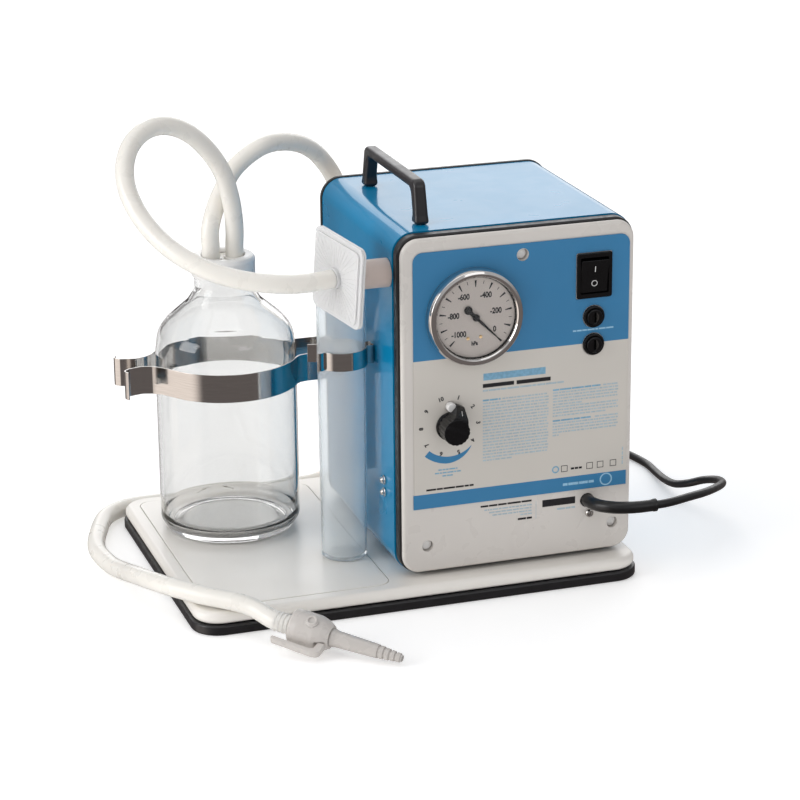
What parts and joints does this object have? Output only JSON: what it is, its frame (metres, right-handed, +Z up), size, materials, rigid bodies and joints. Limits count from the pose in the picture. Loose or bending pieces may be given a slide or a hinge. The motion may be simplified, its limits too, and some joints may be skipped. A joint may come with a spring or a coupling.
{
  "type": "suction pump",
  "caption": "Portable suction pump: a housing with vacuum gauge, switch and regulator on a base, a glass collection bottle in a spring clip, a catheter tube, filter, hoses and mains lead.",
  "frame": {"origin": "middle of the underside of the base, on the surface the pump stands on", "axes": "+X to the right along the front panel, +Y from the front panel to the back, +Z up"},
  "size_m": [0.4632, 0.4323, 0.3269],
  "materials": {
    "white_plastic": "gloss moulded",
    "blue_paint": "gloss paint",
    "black_rubber": "matt moulded",
    "black_plastic": "satin moulded",
    "steel": "polished strip",
    "chrome": "polished plating",
    "silicone": "translucent satin",
    "glass": "clear blown glass",
    "clear_plastic": "frosted moulded",
    "cream_rubber": "matt moulded",
    "cast_metal": "as cast",
    "motor_iron": "painted casting"
  },
  "bodies": {
    "pump": {"base_rim": "black_rubber", "base_plate": "white_plastic", "base_insert": "white_plastic", "housing_sleeve": "blue_paint", "front_gasket": "black_rubber", "rear_gasket": "black_rubber", "front_panel": "white_plastic", "panel_label": "blue_paint", "panel_screw_top": "white_plastic", "panel_screw_left": "white_plastic", "panel_screw_right": "white_plastic", "lead_clamp_screw": "steel", "rear_panel": "white_plastic", "side_screw_upper": "steel", "side_screw_lower": "steel", "carry_handle": "black_plastic", "gauge_case": "black_plastic", "gauge_bezel": "chrome", "gauge_dial": "white_plastic", "gauge_lens": "glass", "switch_frame": "black_plastic", "fuse_holder_upper": "black_plastic", "fuse_holder_lower": "black_plastic", "regulator_body": "cast_metal", "regulator_stop": "white_plastic", "bottle": "glass", "bottle_cap": "white_plastic", "bottle_stopper": "silicone", "bottle_clip": "steel", "tube_clip": "steel", "inlet_nipple": "chrome", "inlet_sleeve": "cream_rubber", "filter_shell_inlet": "clear_plastic", "filter_shell_outlet": "clear_plastic", "filter_membrane": "white_plastic", "filter_hose": "silicone", "patient_hose": "silicone", "connector_body": "white_plastic", "connector_nozzle": "white_plastic", "lead_sleeve": "black_rubber", "power_lead": "black_rubber", "power_lead_coil": "black_rubber", "mains_plug": "black_plastic", "pump_chassis": "cast_metal", "motor_body": "motor_iron", "pump_frame": "cast_metal", "pump_diaphragm": "black_rubber", "vacuum_line": "silicone"},
    "needle": {"gauge_needle": "black_plastic"},
    "rocker": {"switch_rocker": "black_plastic"},
    "fuse_cap_top": {"fuse_cap_upper": "black_plastic"},
    "fuse_cap_bottom": {"fuse_cap_lower": "black_plastic"},
    "knob": {"regulator_knob": "black_plastic", "regulator_spindle": "steel"},
    "tube": {"catheter_tube": "clear_plastic"},
    "crankshaft": {"motor_shaft": "steel", "motor_fan": "black_plastic"},
    "rod": {"connecting_rod": "cast_metal"},
    "lever": {"connector_lever": "white_plastic"}
  },
  "joints": [
    {"name": "needle_turn", "type": "hinge", "parent": "pump", "child": "needle", "pos_m": [0.0405, -0.1095, 0.2037], "axis": [0, -1, 0], "range_deg": [0, 270], "stiffness_Nm_per_rad": 0.00002},
    {"name": "switch_rock", "type": "hinge", "parent": "pump", "child": "rocker", "pos_m": [0.129, -0.1, 0.2237], "axis": [-1, 0, 0], "range_deg": [0, 15]},
    {"name": "fuse_cap_top_turn", "type": "hinge", "parent": "pump", "child": "fuse_cap_top", "pos_m": [0.129, -0.103, 0.194], "axis": [0, 1, 0], "range_deg": [-90, 0]},
    {"name": "fuse_cap_bottom_turn", "type": "hinge", "parent": "pump", "child": "fuse_cap_bottom", "pos_m": [0.129, -0.103, 0.174], "axis": [0, 1, 0], "range_deg": [-90, 0]},
    {"name": "regulator_turn", "type": "hinge", "parent": "pump", "child": "knob", "pos_m": [0.0233, -0.103, 0.1261], "axis": [0, 1, 0], "range_deg": [0, 310]},
    {"name": "tube_lift", "type": "slide", "parent": "pump", "child": "tube", "axis": [0, 0, 1], "range_m": [0, 0.19]},
    {"name": "crankshaft_spin", "type": "hinge", "parent": "pump", "child": "crankshaft", "pos_m": [0.074, 0, 0.075], "axis": [0, 1, 0], "continuous": true},
    {"name": "rod_swing", "type": "hinge", "parent": "crankshaft", "child": "rod", "pos_m": [0.074, 0.0385, 0.08], "axis": [0, 1, 0], "continuous": true},
    {"name": "lever_press", "type": "hinge", "parent": "pump", "child": "lever", "pos_m": [-0.0948, -0.1791, 0.0079], "axis": [0.1515, 0.3652, -0.9185], "range_deg": [0, 4], "stiffness_Nm_per_rad": 0.05, "springref_deg": -2.86}
  ],
  "couplings": [
    {"joint": "rod_swing", "follows": "crankshaft_spin", "ratio": -1}
  ]
}
